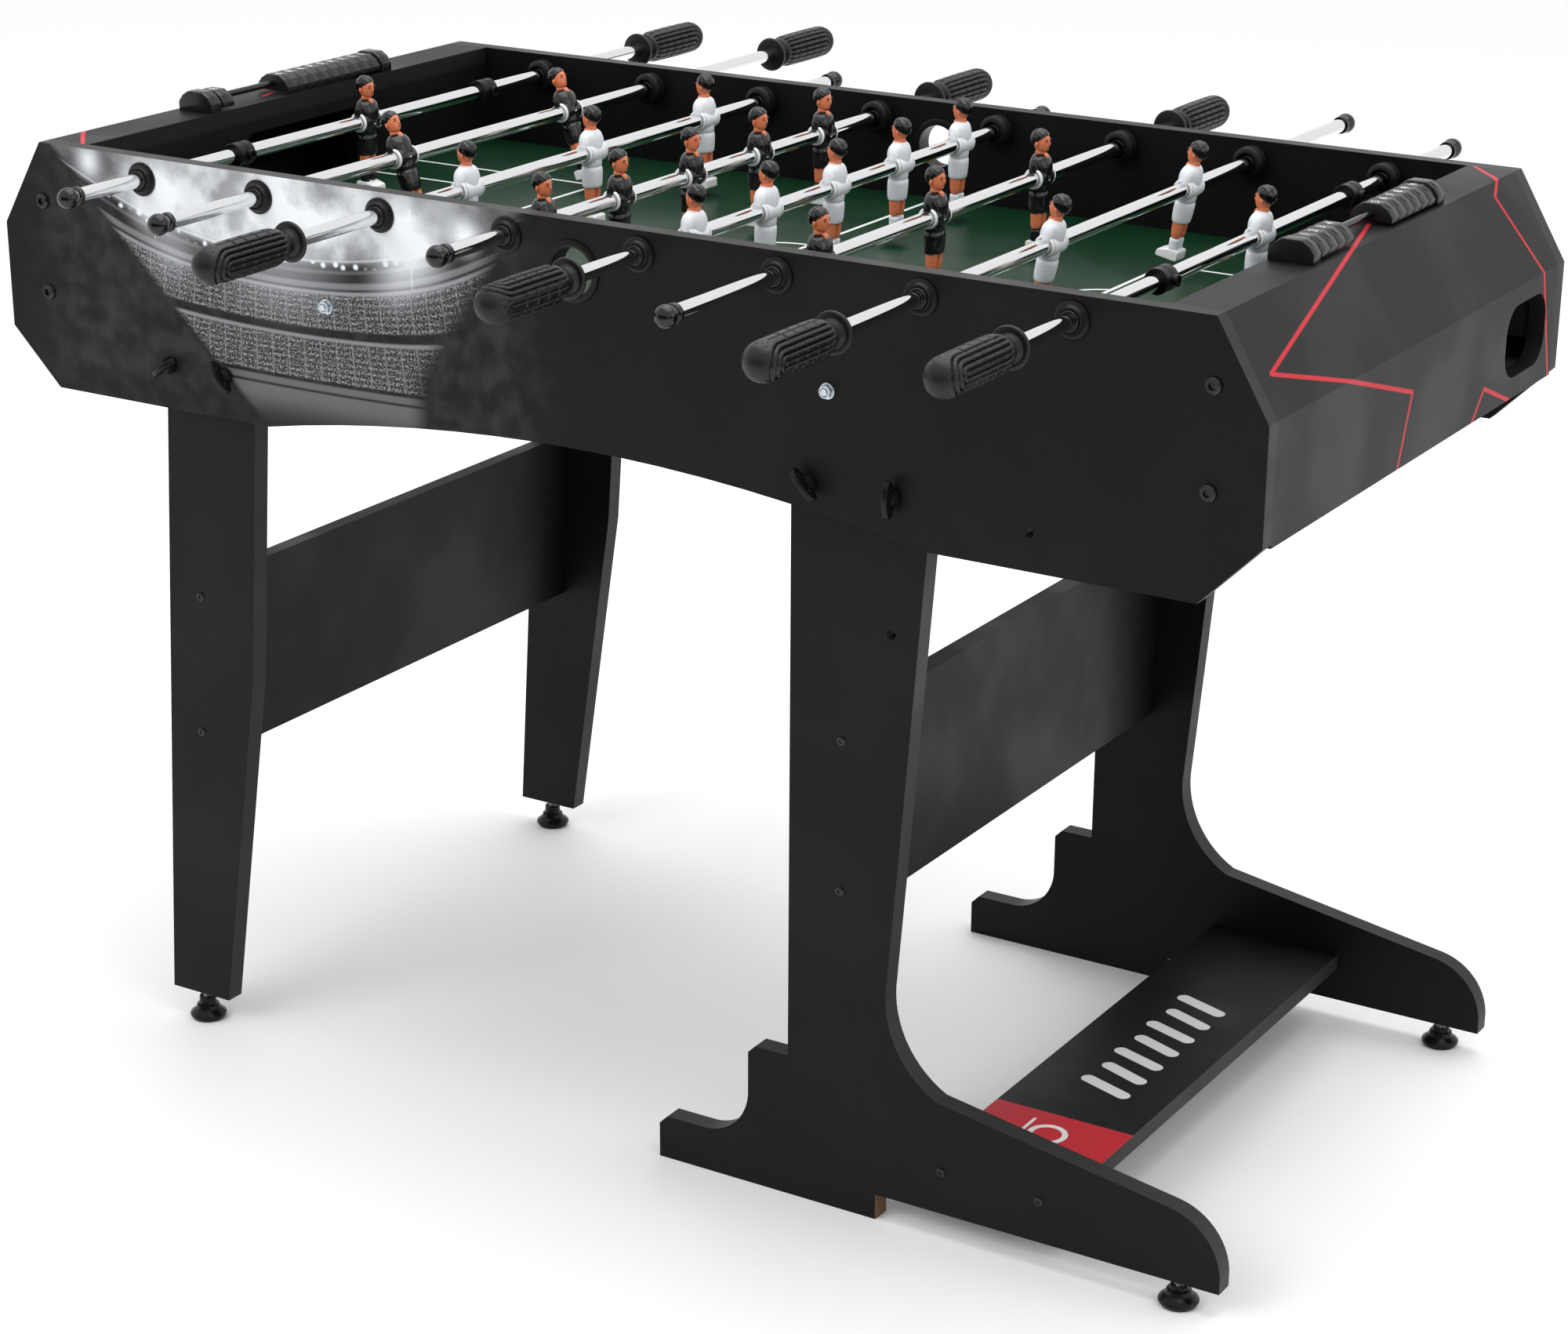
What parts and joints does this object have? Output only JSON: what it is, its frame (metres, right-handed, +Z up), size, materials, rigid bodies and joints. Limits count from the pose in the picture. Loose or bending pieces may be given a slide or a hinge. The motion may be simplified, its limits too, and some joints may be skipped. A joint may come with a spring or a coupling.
{
  "type": "folding foosball table",
  "caption": "Folding table-football cabinet with sliding, spinning player rods, on a T-foot stand and plain legs.",
  "frame": {"origin": "on the floor, under the centre of the table's overall box with the rods at rest", "axes": "+X along the cabinet towards the T-foot stand, +Y across the cabinet away from the near side panel, +Z up"},
  "size_m": [1.21, 1.161, 0.839],
  "materials": {
    "panel_board": "black fine-grained laminate on board, satin",
    "end_board": "charcoal laminate on board with thin red lines",
    "goal_board": "black laminate on board, satin",
    "leg_board": "black laminate on board with grey edge band",
    "playfield": "dark green printed field with white lines, semi-gloss",
    "raw_board": "unpainted fibreboard",
    "rod_chrome": "polished",
    "men_dark": "moulded and painted, glossy",
    "men_light": "moulded and painted, glossy",
    "grip_rubber": "satin moulded",
    "bearing_plastic": "moulded",
    "sleeve_nylon": "moulded nylon",
    "counter_plastic": "glossy with white digits",
    "foot_plastic": "moulded",
    "knob_plastic": "moulded",
    "bolt_steel": "zinc plated nuts, blackened bolts"
  },
  "bodies": {
    "stand": {"stand_legs": "leg_board", "stand_heels": "leg_board", "stand_board": "leg_board", "base_board": "leg_board"},
    "cabinet": {"side_panel_near": "panel_board", "side_panel_far": "panel_board", "end_top_rails": "end_board", "end_slope_boards": "end_board", "end_lower_boards": "end_board", "goal_walls": "goal_board", "playfield": "playfield", "inner_battens": "raw_board", "ball_inlets": "bearing_plastic", "rod_bearings": "bearing_plastic", "cabinet_bolts": "bolt_steel", "score_counters": "counter_plastic"},
    "plain_frame": {"plain_legs": "leg_board", "plain_leg_board": "leg_board"},
    "left_score_bead": {"left_score_bead": "counter_plastic"},
    "right_score_bead": {"right_score_bead": "counter_plastic"},
    "stand_pivot_screws": {"stand_pivot_screws": "knob_plastic"},
    "stand_lock_screws": {"stand_lock_screws": "knob_plastic"},
    "plain_pivot_screws": {"plain_pivot_screws": "knob_plastic"},
    "plain_lock_screws": {"plain_lock_screws": "knob_plastic"},
    "plain_foot_near": {"plain_foot_near": "foot_plastic"},
    "plain_foot_far": {"plain_foot_far": "foot_plastic"},
    "stand_foot_near": {"stand_foot_near": "foot_plastic"},
    "stand_foot_far": {"stand_foot_far": "foot_plastic"},
    "rod_1_bushes": {"rod_1_sleeves": "sleeve_nylon"},
    "rod_1": {"rod_1_tube": "rod_chrome", "rod_1_men": "men_dark", "rod_1_grip": "grip_rubber"},
    "rod_2_bushes": {"rod_2_sleeves": "sleeve_nylon"},
    "rod_2": {"rod_2_tube": "rod_chrome", "rod_2_men": "men_dark", "rod_2_grip": "grip_rubber"},
    "rod_3_bushes": {"rod_3_sleeves": "sleeve_nylon"},
    "rod_3": {"rod_3_tube": "rod_chrome", "rod_3_men": "men_light", "rod_3_grip": "grip_rubber"},
    "rod_4_bushes": {"rod_4_sleeves": "sleeve_nylon"},
    "rod_4": {"rod_4_tube": "rod_chrome", "rod_4_men": "men_dark", "rod_4_grip": "grip_rubber"},
    "rod_5_bushes": {"rod_5_sleeves": "sleeve_nylon"},
    "rod_5": {"rod_5_tube": "rod_chrome", "rod_5_men": "men_light", "rod_5_grip": "grip_rubber"},
    "rod_6_bushes": {"rod_6_sleeves": "sleeve_nylon"},
    "rod_6": {"rod_6_tube": "rod_chrome", "rod_6_men": "men_dark", "rod_6_grip": "grip_rubber"},
    "rod_7_bushes": {"rod_7_sleeves": "sleeve_nylon"},
    "rod_7": {"rod_7_tube": "rod_chrome", "rod_7_men": "men_light", "rod_7_grip": "grip_rubber"},
    "rod_8_bushes": {"rod_8_sleeves": "sleeve_nylon"},
    "rod_8": {"rod_8_tube": "rod_chrome", "rod_8_men": "men_light", "rod_8_grip": "grip_rubber"}
  },
  "joints": [
    {"name": "cabinet_fold", "type": "hinge", "parent": "stand", "child": "cabinet", "pos_m": [0.2965, -0.0365, 0.638], "axis": [0, 1, 0], "range_deg": [0, 90]},
    {"name": "plain_legs_fold", "type": "hinge", "parent": "cabinet", "child": "plain_frame", "pos_m": [-0.363, -0.0365, 0.638], "axis": [0, -1, 0], "range_deg": [0, 90]},
    {"name": "rod_1_spin", "type": "hinge", "parent": "cabinet", "child": "rod_1_bushes", "pos_m": [-0.4445, -0.0365, 0.798], "axis": [0, 1, 0], "continuous": true},
    {"name": "rod_1_slide", "type": "slide", "parent": "rod_1_bushes", "child": "rod_1", "axis": [0, 1, 0], "range_m": [-0.084, 0.071]},
    {"name": "rod_2_spin", "type": "hinge", "parent": "cabinet", "child": "rod_2_bushes", "pos_m": [-0.3175, -0.0365, 0.798], "axis": [0, 1, 0], "continuous": true},
    {"name": "rod_2_slide", "type": "slide", "parent": "rod_2_bushes", "child": "rod_2", "axis": [0, 1, 0], "range_m": [-0.151, 0.1045]},
    {"name": "rod_3_spin", "type": "hinge", "parent": "cabinet", "child": "rod_3_bushes", "pos_m": [-0.1905, -0.0365, 0.798], "axis": [0, 1, 0], "continuous": true},
    {"name": "rod_3_slide", "type": "slide", "parent": "rod_3_bushes", "child": "rod_3", "axis": [0, 1, 0], "range_m": [-0.075, 0.075]},
    {"name": "rod_4_spin", "type": "hinge", "parent": "cabinet", "child": "rod_4_bushes", "pos_m": [-0.0635, -0.0365, 0.798], "axis": [0, 1, 0], "continuous": true},
    {"name": "rod_4_slide", "type": "slide", "parent": "rod_4_bushes", "child": "rod_4", "axis": [0, 1, 0], "range_m": [-0.004, 0.071]},
    {"name": "rod_5_spin", "type": "hinge", "parent": "cabinet", "child": "rod_5_bushes", "pos_m": [0.0635, -0.0365, 0.798], "axis": [0, 1, 0], "continuous": true},
    {"name": "rod_5_slide", "type": "slide", "parent": "rod_5_bushes", "child": "rod_5", "axis": [0, 1, 0], "range_m": [-0.033, 0.043]},
    {"name": "rod_6_spin", "type": "hinge", "parent": "cabinet", "child": "rod_6_bushes", "pos_m": [0.1905, -0.0365, 0.798], "axis": [0, 1, 0], "continuous": true},
    {"name": "rod_6_slide", "type": "slide", "parent": "rod_6_bushes", "child": "rod_6", "axis": [0, 1, 0], "range_m": [-0.018, 0.132]},
    {"name": "rod_7_spin", "type": "hinge", "parent": "cabinet", "child": "rod_7_bushes", "pos_m": [0.3175, -0.0365, 0.798], "axis": [0, 1, 0], "continuous": true},
    {"name": "rod_7_slide", "type": "slide", "parent": "rod_7_bushes", "child": "rod_7", "axis": [0, 1, 0], "range_m": [-0.166, 0.1]},
    {"name": "rod_8_spin", "type": "hinge", "parent": "cabinet", "child": "rod_8_bushes", "pos_m": [0.4445, -0.0365, 0.798], "axis": [0, 1, 0], "continuous": true},
    {"name": "rod_8_slide", "type": "slide", "parent": "rod_8_bushes", "child": "rod_8", "axis": [0, 1, 0], "range_m": [-0.105, 0.055]},
    {"name": "left_score_slide", "type": "slide", "parent": "cabinet", "child": "left_score_bead", "axis": [0, 1, 0], "range_m": [0, 0.0755]},
    {"name": "right_score_slide", "type": "slide", "parent": "cabinet", "child": "right_score_bead", "axis": [0, 1, 0], "range_m": [0, 0.0755]},
    {"name": "stand_pivot_turn", "type": "hinge", "parent": "cabinet", "child": "stand_pivot_screws", "pos_m": [0.2965, -0.0365, 0.638], "axis": [0, 1, 0], "continuous": true},
    {"name": "stand_lock_turn", "type": "hinge", "parent": "cabinet", "child": "stand_lock_screws", "pos_m": [0.221, -0.0365, 0.638], "axis": [0, 1, 0], "continuous": true},
    {"name": "plain_pivot_turn", "type": "hinge", "parent": "cabinet", "child": "plain_pivot_screws", "pos_m": [-0.363, -0.0365, 0.638], "axis": [0, 1, 0], "continuous": true},
    {"name": "plain_lock_turn", "type": "hinge", "parent": "cabinet", "child": "plain_lock_screws", "pos_m": [-0.425, -0.0365, 0.638], "axis": [0, 1, 0], "continuous": true},
    {"name": "plain_foot_near_turn", "type": "hinge", "parent": "plain_frame", "child": "plain_foot_near", "pos_m": [-0.448, -0.317, 0], "axis": [0, 0, 1], "continuous": true},
    {"name": "plain_foot_far_turn", "type": "hinge", "parent": "plain_frame", "child": "plain_foot_far", "pos_m": [-0.448, 0.244, 0], "axis": [0, 0, 1], "continuous": true},
    {"name": "stand_foot_near_turn", "type": "hinge", "parent": "stand", "child": "stand_foot_near", "pos_m": [0.559, -0.317, 0], "axis": [0, 0, 1], "continuous": true},
    {"name": "stand_foot_far_turn", "type": "hinge", "parent": "stand", "child": "stand_foot_far", "pos_m": [0.559, 0.244, 0], "axis": [0, 0, 1], "continuous": true}
  ],
  "couplings": [
    {"joint": "plain_legs_fold", "follows": "cabinet_fold", "ratio": 1}
  ]
}
